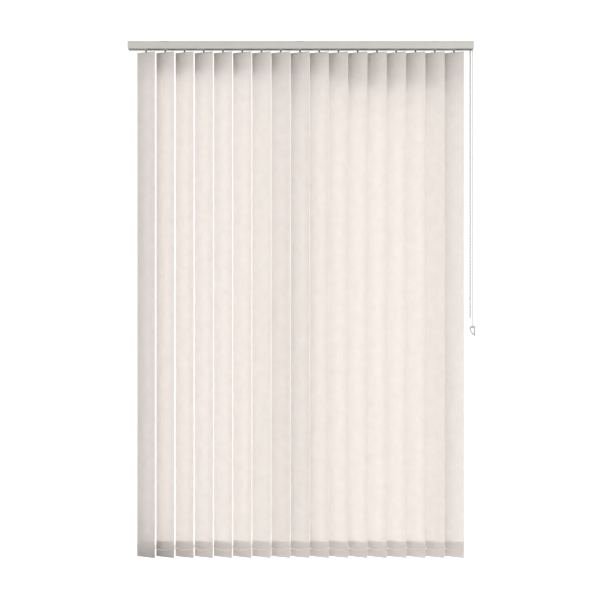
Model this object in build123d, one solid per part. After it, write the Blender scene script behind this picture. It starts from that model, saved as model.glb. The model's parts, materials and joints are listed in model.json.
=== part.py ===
from build123d import *
import math
import os

# A vertical blind: seventeen fabric louvres hang from carriers that slide in an aluminium headrail.
# A looped cord draws them together at the control end, and a bead chain turns them all at once.
# Millimetres. +X runs along the headrail to the control end, -Y points into the room, +Z is up.
# The origin is on the ceiling face of the middle bracket, above the headrail's centre line.

# ---- Clearances
RUNNING = 0.1
CLEAR = 0.3

# ---- Louvres
LOUVRES = 17
PITCH = 80.0
LOUVRE_WIDTH = 89.0
LOUVRE_LENGTH = 2100.0
LOUVRE_TOP = -45.0
LOUVRE_BOTTOM = LOUVRE_TOP - LOUVRE_LENGTH
REST_ANGLE = 28.2
FABRIC = 0.45
TOP_POCKET = 18.0
TOP_POCKET_THICK = 2.1
BOTTOM_POCKET = 65.0
BOTTOM_POCKET_THICK = 2.7
FIRST_LOUVRE_X = -PITCH * (LOUVRES - 1) / 2

# ---- Headrail
RAIL_LEFT = -710.0
RAIL_RIGHT = 711.0
RAIL_TOP = -4.0
RAIL_BOTTOM = -34.5
RAIL_HALF = 22.0
LIP_HALF = 20.6
GROOVE_HALF = 19.2
GROOVE_DEPTH = 3.6
WALL = 1.2
SLOT_HALF = 6.5
LIP_HEIGHT = 2.2
SCREW_R = 1.4
SCREW_PLACES = [(RAIL_LEFT + 6, 12.0), (RAIL_RIGHT - 18, 0.0)]

# ---- End caps
CAP_TOP = RAIL_TOP - 1.5
CAP_INNER_HALF = 17.7
CAP_LOWER_HALF = 20.4
CAP_SHOULDER = RAIL_TOP - GROOVE_DEPTH - WALL - CLEAR
CAP_FLOOR = RAIL_BOTTOM + LIP_HEIGHT + CLEAR
CONTROL_PLUG_LEFT = 686.0
CONTROL_FACE = 720.5
RETURN_PLUG_RIGHT = -688.0
RETURN_FACE = -714.5

# ---- Brackets
BRACKETS = {"bracket_left": -560.0, "bracket_middle": 0.0, "bracket_right": 560.0}
BRACKET_LENGTH = 30.0
BRACKET_PLATE = 1.5
BRACKET_WALL = 1.2
BRACKET_STRAP = 1.0
BRACKET_FRONT = -5.2
BRACKET_HOLE_R = 2.4
BRACKET_HOLE_SPACING = 16.0

# ---- Tilt rod, worm drive and bead chain
ROD_Y = 9.2
ROD_Z = -21.0
ROD_R = 2.5
ROD_LEFT = -706.0
ROD_RIGHT = 716.0
WORM_LENGTH = 15.0
WORM_R = 3.8
WORM_BORE_R = 2.65
WHEEL_TEETH = 12
WHEEL_TIP_R = 5.3
WHEEL_ROOT_R = 4.5
WHEEL_HEIGHT = 5.0
WHEEL_TOP = ROD_Z + WHEEL_HEIGHT / 2
WHEEL_BOTTOM = ROD_Z - WHEEL_HEIGHT / 2
JOURNAL_R = 1.5
JOURNAL_TOP = -16.3
BEAD_D = 4.5
BEAD_PITCH = 6.0
SPROCKET_BEADS = 8
CHAIN_WRAP_R = SPROCKET_BEADS * BEAD_PITCH / (2 * math.pi)
CHAIN_X = 709.0
CHAIN_BOTTOM = -1150.0

# ---- Traverse cord and its pulleys
CORD_D = 2.2
CORD_FRONT_Y = -17.0
CORD_BACK_Y = -5.0
CORD_Z = -11.0
CORD_TURN_R = (CORD_BACK_Y - CORD_FRONT_Y) / 2
CORD_MID_Y = (CORD_BACK_Y + CORD_FRONT_Y) / 2
PULLEY_X = 711.0
PULLEY_Z = CORD_Z - CORD_TURN_R
CORD_DROP_X = PULLEY_X + CORD_TURN_R
RETURN_X = -698.0
PULLEY_R = 7.0
PULLEY_THICK = 3.5
PULLEY_AXLE_R = 1.5
AXLE_BACK_Y = -2.0
WEIGHT_EYE_Z = -1187.3
WEIGHT_THICK = 9.2
WEIGHT_BAR = 4.6

# ---- Carriers
CARRIER_LENGTH = 19.0
STEM_R = 2.5
STEM_BORE_R = 2.6
COLLAR_R = 4.2
COLLAR_TOP = -36.6
COLLAR_BOTTOM = -38.0
FORK_HALF_WIDTH = 3.6
FORK_HALF_DEPTH = 1.5
FORK_SLOT_HALF = 0.6
FORK_SLOT_TOP = -39.6
FORK_BOTTOM = -45.8
HANGER_HALF_WIDTH = 42.0
HANGER_HALF_THICK = 0.5
HANGER_DEPTH = 13.5
HANGER_TOP = -46.2
HANGER_HOLE_Z = -42.8
HANGER_TAB_HALF = 3.3
HANGER_TAB_TOP = -40.1
SPACER_LENGTH = 84.0
SPACER_WIDTH = 7.0
SPACER_THICK = 0.2
SPACER_SLOPE = 0.014
SPACER_Y = 6.5
SPACER_Z = -14.6

# ---- Chain that links the louvres' weights
LINK_BEAD_D = 3.2
CLIP_REACH = 48.0
CLIP_OFFSET = 1.0
CLIP_Z = LOUVRE_BOTTOM + 42.0
# One sagging span between two clips: distance along the pitch and drop, end to end.
SPAN_SHAPE = [(0.0, 0.0), (16.0, -5.1), (32.0, -7.7), (48.0, -7.7), (64.0, -5.1), (80.0, 0.0)]
SPAN_CLEARANCE = 4.6



def block(x0, x1, y0, y1, z0, z1):
    """A box between two X, two Y and two Z values."""
    centre = Pos((x0 + x1) / 2, (y0 + y1) / 2, (z0 + z1) / 2)
    return centre * Box(abs(x1 - x0), abs(y1 - y0), abs(z1 - z0))


def rod_x(radius, x0, x1, y, z):
    """A cylinder along X."""
    return Pos((x0 + x1) / 2, y, z) * Rot(0, 90, 0) * Cylinder(radius, abs(x1 - x0))


def rod_y(radius, x, y0, y1, z):
    """A cylinder along Y."""
    return Pos(x, (y0 + y1) / 2, z) * Rot(90, 0, 0) * Cylinder(radius, abs(y1 - y0))


def rod_z(radius, x, y, z0, z1):
    """A cylinder along Z."""
    return Pos(x, y, (z0 + z1) / 2) * Cylinder(radius, abs(z1 - z0))


def save(shape, node):
    """Write one sub-part and note its size."""
    export_step(shape, f"parts/{node}.step")
    print(f"{node}: {len(shape.solids())} solids, {shape.volume:.0f} mm3")


def mirrored_outline(half):
    """Close an outline given by its points on the +Y side, from the centre line round to the centre line."""
    other = [(-y, z) for y, z in reversed(half) if y > 0]
    return make_face(Polyline(*half, *other, close=True))


# ---- Headrail ----------------------------------------------------------------------------------

def headrail():
    """The extruded channel: a lipped top for the brackets, and a slot below between turned-up lips."""
    groove_floor = RAIL_TOP - WALL
    shoulder = RAIL_TOP - GROOVE_DEPTH
    outer = [
        (LIP_HALF, RAIL_TOP),
        (LIP_HALF, groove_floor),
        (GROOVE_HALF, groove_floor),
        (GROOVE_HALF, shoulder),
        (RAIL_HALF, shoulder),
        (RAIL_HALF, RAIL_BOTTOM),
        (SLOT_HALF, RAIL_BOTTOM),
    ]
    inner = [
        (SLOT_HALF, RAIL_BOTTOM + LIP_HEIGHT),
        (SLOT_HALF + WALL, RAIL_BOTTOM + LIP_HEIGHT),
        (SLOT_HALF + WALL, RAIL_BOTTOM + WALL),
        (RAIL_HALF - WALL, RAIL_BOTTOM + WALL),
        (RAIL_HALF - WALL, shoulder - WALL),
        (GROOVE_HALF - WALL, shoulder - WALL),
        (GROOVE_HALF - WALL, groove_floor),
    ]
    half = outer + inner
    other = [(-y, z) for y, z in reversed(half)]
    section = Plane.YZ * make_face(Polyline(*half, *other, close=True))
    soft = [v for v in section.vertices() if abs(abs(v.Y) - RAIL_HALF) < 0.01]
    section = fillet(soft, 1.0)
    rail = Pos(RAIL_LEFT, 0, 0) * extrude(section, RAIL_RIGHT - RAIL_LEFT, dir=(1, 0, 0))
    for x, y in SCREW_PLACES:
        rail -= rod_z(SCREW_R + RUNNING, x, y, RAIL_TOP + 1, RAIL_TOP - 3)
    reach = CHAIN_WRAP_R + BEAD_D / 2 + 0.6
    rail -= block(CHAIN_X - 3.6, RAIL_RIGHT + 1, ROD_Y - reach, ROD_Y + reach, RAIL_BOTTOM - 1, RAIL_BOTTOM + 3)
    return rail


def end_cap_screws():
    """A pan-head self-tapping screw down through the rail's roof into each end cap."""
    screws = []
    for x, y in SCREW_PLACES:
        head = rod_z(2.6, x, y, RAIL_TOP, RAIL_TOP + 1.5)
        head -= block(x - 1.9, x + 1.9, y - 0.35, y + 0.35, RAIL_TOP + 0.8, RAIL_TOP + 2)
        head -= block(x - 0.35, x + 0.35, y - 1.9, y + 1.9, RAIL_TOP + 0.8, RAIL_TOP + 2)
        shank = rod_z(SCREW_R, x, y, RAIL_TOP, RAIL_TOP - 7.5)
        screws.append(head + shank)
    return Compound(screws)


def bracket(x):
    """A spring clip on the ceiling: a screwed plate at the rear, and a strap to the front lip's hook."""
    jaw_in = RAIL_HALF - BRACKET_WALL
    hook_in = GROOVE_HALF + 0.5
    hook_top = RAIL_TOP - WALL - CLEAR
    hook_bottom = RAIL_TOP - GROOVE_DEPTH + 0.4
    strap_bottom = RAIL_TOP + 0.2
    strap_top = strap_bottom + BRACKET_STRAP
    outline = [
        (BRACKET_FRONT, 0.0),
        (RAIL_HALF, 0.0),
        (RAIL_HALF, hook_bottom),
        (hook_in, hook_bottom),
        (hook_in, hook_top),
        (jaw_in, hook_top),
        (jaw_in, -BRACKET_PLATE),
        (BRACKET_FRONT + BRACKET_WALL, -BRACKET_PLATE),
        (BRACKET_FRONT + BRACKET_WALL, strap_bottom),
        (-jaw_in, strap_bottom),
        (-jaw_in, hook_top),
        (-hook_in, hook_top),
        (-hook_in, hook_bottom),
        (-RAIL_HALF, hook_bottom),
        (-RAIL_HALF, strap_top),
        (BRACKET_FRONT, strap_top),
    ]
    section = Plane.YZ * make_face(Polyline(*outline, close=True))
    clip = Pos(x - BRACKET_LENGTH / 2, 0, 0) * extrude(section, BRACKET_LENGTH, dir=(1, 0, 0))
    for side in (-1, 1):
        clip -= rod_z(BRACKET_HOLE_R, x + side * BRACKET_HOLE_SPACING / 2, 0, 1, -BRACKET_PLATE - 1)
    return clip


# ---- End caps, pulleys and rod -----------------------------------------------------------------

def rail_plug(x0, x1):
    """The moulded block that fits inside the rail's channel."""
    lower = block(x0, x1, -CAP_LOWER_HALF, CAP_LOWER_HALF, CAP_FLOOR, CAP_SHOULDER)
    upper = block(x0, x1, -CAP_INNER_HALF, CAP_INNER_HALF, CAP_SHOULDER, CAP_TOP)
    return lower + upper


def end_plate(x0, x1, outside):
    """The end cap's visible plate, as deep as the rail, with its outer edges rounded."""
    plate = block(x0, x1, -RAIL_HALF, RAIL_HALF, RAIL_BOTTOM - 0.4, RAIL_TOP + 0.6)
    face = plate.faces().sort_by(Axis.X)[-1 if outside > 0 else 0]
    return fillet(face.edges(), 2.6)


def control_end_cap():
    """The drive end: pockets for two cord pulleys and the sprocket, open below for cord and chain."""
    cap = rail_plug(CONTROL_PLUG_LEFT, RAIL_RIGHT) + end_plate(RAIL_RIGHT, CONTROL_FACE, 1)
    web_right = CONTROL_PLUG_LEFT + 12
    for y in (CORD_FRONT_Y, CORD_BACK_Y):
        pocket_half = PULLEY_THICK / 2 + 0.3
        pocket_top = PULLEY_Z + PULLEY_R + 0.6
        cap -= block(web_right, CORD_DROP_X + 1.6, y - pocket_half, y + pocket_half, -50, pocket_top)
        cap -= rod_x(CORD_D / 2 + 0.6, CONTROL_PLUG_LEFT - 1, web_right + 1, y, CORD_Z)
    wheel_r = CHAIN_WRAP_R + BEAD_D / 2 + 0.45
    chain_left = CHAIN_X - BEAD_D / 2 - 1.4
    chain_right = CHAIN_X + BEAD_D / 2 + 1.4
    cap -= block(chain_left, chain_right, ROD_Y - wheel_r, ROD_Y + wheel_r, -50, ROD_Z)
    cap -= rod_x(wheel_r, chain_left, chain_right, ROD_Y, ROD_Z)
    cap -= rod_x(ROD_R + RUNNING, CONTROL_PLUG_LEFT - 1, ROD_RIGHT + 0.4, ROD_Y, ROD_Z)
    cap -= rod_y(PULLEY_AXLE_R, PULLEY_X, -CAP_LOWER_HALF - 1, AXLE_BACK_Y, PULLEY_Z)
    x, y = SCREW_PLACES[1]
    cap -= rod_z(SCREW_R, x, y, 0, RAIL_TOP - 7.8)
    return cap


def return_end_cap():
    """The far end: a pocket for the flat return pulley, and a blind bearing for the tilt rod."""
    cap = rail_plug(RAIL_LEFT, RETURN_PLUG_RIGHT) + end_plate(RETURN_FACE, RAIL_LEFT, -1)
    half = PULLEY_THICK / 2 + 0.3
    z0 = CORD_Z - half
    z1 = CORD_Z + half
    cap -= rod_z(PULLEY_R + 1.2, RETURN_X, CORD_MID_Y, z0, z1)
    right = RETURN_PLUG_RIGHT + 1
    reach = PULLEY_R + 1.2
    cap -= block(RETURN_X, right, CORD_MID_Y - reach, CORD_MID_Y + reach, z0, z1)
    cap -= rod_x(ROD_R + RUNNING, ROD_LEFT - 0.4, right, ROD_Y, ROD_Z)
    cap -= rod_z(PULLEY_AXLE_R, RETURN_X, CORD_MID_Y, 0, CORD_Z - 7)
    x, y = SCREW_PLACES[0]
    cap -= rod_z(SCREW_R, x, y, 0, RAIL_TOP - 7.8)
    return cap


def pulley():
    """A grooved wheel about Z at the origin, bored to run on its axle, whose groove clears the cord."""
    half = PULLEY_THICK / 2
    floor = CORD_TURN_R - CORD_D / 2 - 0.05
    outline = Polyline(
        (PULLEY_AXLE_R + 0.08, -half),
        (PULLEY_R, -half),
        (PULLEY_R, -half + 0.3),
        (floor, -CORD_D / 2 - 0.1),
        (floor, CORD_D / 2 + 0.1),
        (PULLEY_R, half - 0.3),
        (PULLEY_R, half),
        (PULLEY_AXLE_R + 0.08, half),
        close=True,
    )
    return revolve(Plane.XZ * make_face(outline), Axis.Z)


def tilt_rod():
    """The aluminium spline that runs the length of the rail: a round bar with four drive grooves."""
    rod = rod_x(ROD_R, ROD_LEFT, ROD_RIGHT, ROD_Y, ROD_Z)
    for turn in range(4):
        angle = math.radians(45 + 90 * turn)
        y = ROD_Y + ROD_R * math.cos(angle)
        z = ROD_Z + ROD_R * math.sin(angle)
        rod -= rod_x(0.6, ROD_LEFT + 18, ROD_RIGHT - 13, y, z)
    return rod


def chain_sprocket():
    """The chain wheel on the rod, with a pocket for each bead and a waist that the links lie in."""
    half = BEAD_D / 2 + 1.0
    waist = CHAIN_WRAP_R - BEAD_D / 2 - 0.15
    wheel = rod_x(CHAIN_WRAP_R + 0.9, CHAIN_X - half, CHAIN_X + half, ROD_Y, ROD_Z)
    wheel -= (
        rod_x(CHAIN_WRAP_R + 2, CHAIN_X - BEAD_D / 2 - 0.15, CHAIN_X + BEAD_D / 2 + 0.15, ROD_Y, ROD_Z)
        - rod_x(waist, CHAIN_X - half, CHAIN_X + half, ROD_Y, ROD_Z)
    )
    for bead in range(SPROCKET_BEADS):
        angle = 2 * math.pi * bead / SPROCKET_BEADS
        y = ROD_Y + CHAIN_WRAP_R * math.cos(angle)
        z = ROD_Z + CHAIN_WRAP_R * math.sin(angle)
        wheel -= Pos(CHAIN_X, y, z) * Sphere(BEAD_D / 2 + 0.5)
    wheel -= rod_x(ROD_R, CHAIN_X - half - 1, CHAIN_X + half + 1, ROD_Y, ROD_Z)
    return wheel


# ---- Cords and chains --------------------------------------------------------------------------

def tube(points, radii, diameter, name):
    """A round tube along straight runs joined by tangent arcs, checked against section times length."""
    path = FilletPolyline(*points, radius=radii)
    start = Plane(origin=path @ 0, z_dir=path % 0)
    solid = sweep(start * Circle(diameter / 2), path=path)
    expected = math.pi * diameter ** 2 / 4 * path.length
    shown = ", ".join(f"{r:.1f}" for r in radii)
    print(f"{name}: length {path.length:.1f}, volume {solid.volume / expected:.4f} of expected, radii {shown}")
    return solid


def open_radii(points):
    """Each corner's arc: 0.45 of its shorter run, over the tangent of half its turn."""
    radii = []
    for a, b, c in zip(points, points[1:], points[2:]):
        before = Vector(*b) - Vector(*a)
        after = Vector(*c) - Vector(*b)
        half_turn = math.radians(before.get_angle(after)) / 2
        radii.append(0.45 * min(before.length, after.length) / math.tan(half_turn))
    return radii


def traverse_cord_run():
    """The cord inside the rail: over the front pulley, along, round the return pulley and back."""
    over = CORD_TURN_R
    turn_left = RETURN_X - over
    points = [
        (CORD_DROP_X, CORD_FRONT_Y, PULLEY_Z),
        (CORD_DROP_X, CORD_FRONT_Y, CORD_Z),
        (turn_left, CORD_FRONT_Y, CORD_Z),
        (turn_left, CORD_BACK_Y, CORD_Z),
        (CORD_DROP_X, CORD_BACK_Y, CORD_Z),
        (CORD_DROP_X, CORD_BACK_Y, PULLEY_Z),
    ]
    bend = over - 0.02
    return tube(points, [bend] * 4, CORD_D, "traverse_cord_run")


def traverse_cord_loop():
    """The hanging loop: straight down, through the weight's eye, and straight up behind."""
    low = WEIGHT_EYE_Z - CORD_TURN_R
    points = [
        (CORD_DROP_X, CORD_FRONT_Y, PULLEY_Z),
        (CORD_DROP_X, CORD_FRONT_Y, low),
        (CORD_DROP_X, CORD_BACK_Y, low),
        (CORD_DROP_X, CORD_BACK_Y, PULLEY_Z),
    ]
    return tube(points, [CORD_TURN_R - 0.02] * 2, CORD_D, "traverse_cord_loop")


def tilt_chain():
    """The bead chain's free loop, from one side of the sprocket down and back to the other."""
    front = ROD_Y - CHAIN_WRAP_R
    back = ROD_Y + CHAIN_WRAP_R
    points = [
        (CHAIN_X, front, ROD_Z),
        (CHAIN_X, front, CHAIN_BOTTOM + 9.0),
        (CHAIN_X, front + 3.4, CHAIN_BOTTOM + 0.6),
        (CHAIN_X, back - 3.4, CHAIN_BOTTOM + 0.6),
        (CHAIN_X, back, CHAIN_BOTTOM + 9.0),
        (CHAIN_X, back, ROD_Z),
    ]
    return tube(points, open_radii(points), BEAD_D, "tilt_chain")


def chain_connector():
    """The clip that joins the chain's two ends: a slit sleeve round the rear strand."""
    y = ROD_Y + CHAIN_WRAP_R
    z0 = CHAIN_BOTTOM + 70
    sleeve = rod_z(BEAD_D / 2 + 0.9, CHAIN_X, y, z0, z0 + 13)
    sleeve -= rod_z(BEAD_D / 2 + 0.1, CHAIN_X, y, z0 - 1, z0 + 14)
    sleeve -= block(CHAIN_X - 0.7, CHAIN_X + 0.7, y, y + 5, z0 - 1, z0 + 14)
    return sleeve


def stabiliser_chain(side):
    """The chain along one edge of the louvres: a sagging span from each weight's clip to the next."""
    angle = math.radians(REST_ANGLE)
    clip_x = side * (CLIP_REACH * math.cos(angle) - CLIP_OFFSET * math.sin(angle))
    clip_y = -side * (CLIP_REACH * math.sin(angle) + CLIP_OFFSET * math.cos(angle))
    first, last = SPAN_CLEARANCE, PITCH - SPAN_CLEARANCE
    drop = SPAN_SHAPE[1][1] * SPAN_CLEARANCE / SPAN_SHAPE[1][0]
    shape = [(first, drop), *SPAN_SHAPE[1:-1], (last, drop)]
    points = [(x, 0, z) for x, z in shape]
    span = tube(points, open_radii(points), LINK_BEAD_D, "stabiliser span")
    spans = []
    for index in range(LOUVRES - 1):
        x = FIRST_LOUVRE_X + PITCH * index + clip_x
        spans.append(Pos(x, clip_y, CLIP_Z) * span)
    return Compound(spans)


def cord_weight():
    """The sail-shaped weight: upright on one side, swept in on the other, hung by the bar over its eye."""
    x = CORD_DROP_X
    z = WEIGHT_EYE_Z
    sail = [(-10.0, 4.0), (10.4, 4.0), (10.4, -40.6), (-3.0, -30.5), (-13.2, -13.0), (-13.2, -1.0)]
    hole = [(-6.4, -WEIGHT_BAR), (5.0, -WEIGHT_BAR), (5.0, -27.6), (-0.5, -24.5), (-6.4, -14.5)]
    outer = make_face(Polyline(*[(x + across, z + up) for across, up in sail], close=True))
    eye = make_face(Polyline(*[(x + across, z + up) for across, up in hole], close=True))
    outer = fillet(outer.vertices(), 3.0)
    eye = fillet(eye.vertices(), 1.8)
    plane = Plane(origin=(0, CORD_MID_Y, 0), x_dir=(1, 0, 0), z_dir=(0, -1, 0))
    body = extrude(plane * outer, WEIGHT_THICK / 2, both=True)
    rims = body.faces().filter_by(Axis.Y).edges()
    body = fillet(rims, 1.4)
    body -= extrude(plane * eye, WEIGHT_THICK, both=True)
    groove = Torus(CORD_TURN_R, CORD_D / 2 + 0.1)
    return body - Pos(x, CORD_MID_Y, z) * Rot(0, 90, 0) * groove


# ---- Carriers ----------------------------------------------------------------------------------

def carrier(x, has_spacer):
    """A sliding carrier: its housing, the worm on the tilt rod, and the spacer strip it draws along."""
    half = CARRIER_LENGTH / 2
    floor = RAIL_BOTTOM + WALL + CLEAR
    housing = block(-half, half, -17.4, 17.4, -31.9, -6.2)
    housing += block(-half, half, -20.2, 20.2, floor + 1.4, -9.2)
    for side in (-1, 1):
        housing += block(-half, half, side * 8.3, side * 20.2, floor, floor + 1.4)
        housing -= block(-half - 1, half + 1, side * 17.4, side * 21, -15.5, -27.5)
    housing += rod_z(5.0, 0, 0, -36.2, -31.9)
    housing -= rod_z(STEM_BORE_R, 0, 0, -37, -23)
    housing -= rod_z(WHEEL_TIP_R + 0.4, 0, 0, WHEEL_BOTTOM - CLEAR, WHEEL_TOP + CLEAR)
    housing -= rod_z(JOURNAL_R + RUNNING, 0, 0, WHEEL_TOP, JOURNAL_TOP + CLEAR)
    housing -= rod_x(WORM_R + CLEAR, -WORM_LENGTH / 2 - CLEAR, WORM_LENGTH / 2 + CLEAR, ROD_Y, ROD_Z)
    housing -= rod_x(ROD_R + CLEAR, -half - 1, half + 1, ROD_Y, ROD_Z)
    for y in (CORD_FRONT_Y, CORD_BACK_Y):
        housing -= rod_x(CORD_D / 2 + 0.5, -half - 1, half + 1, y, CORD_Z)
    rise = SPACER_LENGTH * SPACER_SLOPE
    slot_y0 = SPACER_Y - SPACER_WIDTH / 2 - CLEAR
    slot_y1 = SPACER_Y + SPACER_WIDTH / 2 + CLEAR
    slot_z0 = SPACER_Z - 0.4
    housing -= block(-half - 1, half + 1, slot_y0, slot_y1, slot_z0, SPACER_Z + rise + 0.6)
    pieces = [housing, worm()]
    if has_spacer:
        pieces.append(spacer_strip())
    return Pos(x, 0, 0) * Compound(pieces)


def worm():
    """The worm sleeve round the tilt rod, with its thread as rings at the wheel's tooth spacing."""
    spacing = 2 * math.pi * 0.45 * 12 / WHEEL_TEETH
    sleeve = rod_x(WORM_R, -WORM_LENGTH / 2, WORM_LENGTH / 2, ROD_Y, ROD_Z)
    for turn in range(-2, 3):
        middle = spacing * turn
        ring = rod_x(WORM_R + 1, middle - 0.7, middle + 0.7, ROD_Y, ROD_Z)
        ring -= rod_x(WORM_R - 0.5, middle - 1, middle + 1, ROD_Y, ROD_Z)
        sleeve -= ring
    return sleeve - rod_x(WORM_BORE_R, -WORM_LENGTH, WORM_LENGTH, ROD_Y, ROD_Z)


def spacer_strip():
    """The thin strip that sets the next carrier's distance, rising so that strips shingle when stacked."""
    tilt = math.degrees(math.atan(SPACER_SLOPE))
    strip = Box(SPACER_LENGTH, SPACER_WIDTH, SPACER_THICK)
    middle_z = SPACER_Z + SPACER_THICK / 2 + SPACER_SLOPE * (SPACER_LENGTH / 2 - 3)
    return Pos(3 - SPACER_LENGTH / 2, SPACER_Y, middle_z) * Rot(0, tilt, 0) * strip


# ---- Louvres -----------------------------------------------------------------------------------

def stem():
    """The louvre's stem: the worm's wheel, the shaft in the carrier, and the forked hook below."""
    wheel = rod_z(WHEEL_TIP_R, 0, 0, WHEEL_BOTTOM, WHEEL_TOP)
    for tooth in range(WHEEL_TEETH):
        angle = 2 * math.pi * (tooth + 0.5) / WHEEL_TEETH
        gap = Pos(WHEEL_TIP_R * math.cos(angle), WHEEL_TIP_R * math.sin(angle), ROD_Z)
        wheel -= gap * Cylinder(WHEEL_TIP_R - WHEEL_ROOT_R, WHEEL_HEIGHT + 1)
    wheel += rod_z(JOURNAL_R, 0, 0, WHEEL_TOP, JOURNAL_TOP)
    wheel += rod_z(STEM_R, 0, 0, WHEEL_BOTTOM, COLLAR_TOP)
    wheel += rod_z(COLLAR_R, 0, 0, COLLAR_TOP, COLLAR_BOTTOM)
    width, depth, slot = FORK_HALF_WIDTH, FORK_HALF_DEPTH, FORK_SLOT_HALF
    fork = block(-width, width, -depth, depth, COLLAR_BOTTOM, FORK_BOTTOM)
    fork -= block(-width - 1, width + 1, -slot, slot, FORK_SLOT_TOP, FORK_BOTTOM - 1)
    fork += rod_y(1.2, 0, -slot, slot, HANGER_HOLE_Z)
    return wheel + fork


def hanger():
    """The stiff plate in the louvre's top pocket, with a holed tab standing up through the fold."""
    width, thick, tab_half = HANGER_HALF_WIDTH, HANGER_HALF_THICK, HANGER_TAB_HALF
    plate = block(-width, width, -thick, thick, HANGER_TOP, HANGER_TOP - HANGER_DEPTH)
    tab = block(-tab_half, tab_half, -thick, thick, HANGER_TAB_TOP, HANGER_TOP)
    return plate + tab - rod_y(1.4, 0, -2, 2, HANGER_HOLE_Z)


def fabric():
    """The louvre's cloth, folded and welded into a narrow pocket above and a deep one below."""
    half = FABRIC / 2
    top_half = TOP_POCKET_THICK / 2
    low_half = BOTTOM_POCKET_THICK / 2
    top, bottom = LOUVRE_TOP, LOUVRE_BOTTOM
    seam_above = top - TOP_POCKET
    seam_below = bottom + BOTTOM_POCKET
    outline = [
        (0.0, top),
        (top_half - 0.4, top - 0.1),
        (top_half, top - 0.7),
        (top_half, seam_above + 2.5),
        (half, seam_above),
        (half, seam_below),
        (low_half, seam_below - 4),
        (low_half, bottom + 0.8),
        (low_half - 0.5, bottom),
        (0.0, bottom),
    ]
    section = Plane.YZ * mirrored_outline(outline)
    cloth = Pos(-LOUVRE_WIDTH / 2, 0, 0) * extrude(section, LOUVRE_WIDTH, dir=(1, 0, 0))
    room = top_half - 0.4
    low_room = low_half - 0.4
    cloth -= block(-50, 50, -room, room, top - 0.6, seam_above + 2.3)
    cloth -= block(-50, 50, -low_room, low_room, seam_below - 4.5, bottom + 0.5)
    cloth -= block(-5.5, 5.5, -5, 5, top + 1, top - 2.4)
    return cloth


def bottom_weight():
    """The flat weight in the bottom pocket, with an arm and chain clip at each edge."""
    top_z = LOUVRE_BOTTOM + BOTTOM_POCKET - 6.0
    plate = block(-43, 43, -0.85, 0.85, top_z, LOUVRE_BOTTOM + 1.5)
    for side in (-1, 1):
        near, far = side * (CLIP_REACH - 1.7), side * (CLIP_REACH + 1.7)
        plate += block(side * 42, far, -0.85, 0.85, CLIP_Z - 2.2, CLIP_Z + 2.2)
        plate += block(near, far, side * 0.85, -side * 2.2, CLIP_Z - 2.2, CLIP_Z + 2.2)
        slit = 0.6
        middle = side * CLIP_REACH
        plate -= block(middle - slit, middle + slit, side * 0.3, -side * 3, CLIP_Z - slit, CLIP_Z + 3)
    return plate


def louvre(x):
    """One louvre turned to its rest angle about its stem, its +X edge towards the room."""
    pieces = Compound([stem(), hanger(), fabric(), bottom_weight()])
    return Pos(x, 0, 0) * Rot(0, 0, -REST_ANGLE) * pieces


# ---- Write every sub-part ----------------------------------------------------------------------

os.makedirs("parts", exist_ok=True)
save(headrail(), "headrail")
save(control_end_cap(), "control_end_cap")
save(return_end_cap(), "return_end_cap")
save(end_cap_screws(), "end_cap_screws")
for name, x in BRACKETS.items():
    save(bracket(x), name)
save(tilt_rod(), "tilt_rod")
save(chain_sprocket(), "chain_sprocket")
save(Pos(PULLEY_X, CORD_FRONT_Y, PULLEY_Z) * Rot(90, 0, 0) * pulley(), "cord_pulley_front")
save(Pos(PULLEY_X, CORD_BACK_Y, PULLEY_Z) * Rot(90, 0, 0) * pulley(), "cord_pulley_back")
save(rod_y(PULLEY_AXLE_R, PULLEY_X, -CAP_LOWER_HALF, AXLE_BACK_Y, PULLEY_Z), "pulley_axle")
save(Pos(RETURN_X, CORD_MID_Y, CORD_Z) * pulley(), "return_pulley")
save(rod_z(PULLEY_AXLE_R, RETURN_X, CORD_MID_Y, CAP_TOP, CORD_Z - 7), "return_pulley_pin")
save(traverse_cord_run(), "traverse_cord_run")
save(traverse_cord_loop(), "traverse_cord_loop")
save(cord_weight(), "cord_weight")
save(tilt_chain(), "tilt_chain")
save(chain_connector(), "chain_connector")
save(stabiliser_chain(1), "stabiliser_chain_front")
save(stabiliser_chain(-1), "stabiliser_chain_back")
for number in range(1, LOUVRES + 1):
    x = FIRST_LOUVRE_X + PITCH * (number - 1)
    save(carrier(x, number > 1), f"carrier_{number:02d}")
    save(louvre(x), f"louvre_{number:02d}")
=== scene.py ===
# %% [markdown]
# # A vertical blind
# The CAD model already holds every part at its real size and place. This notebook gives it its finish:
# woven cloth louvres, moulded stems, beaded chains, a braided cord and a satin aluminium headrail.
# The first cell loads that model as a fixed frame. Nothing in it is moved afterwards.

# %% Load the frame
import json
import math

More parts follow.
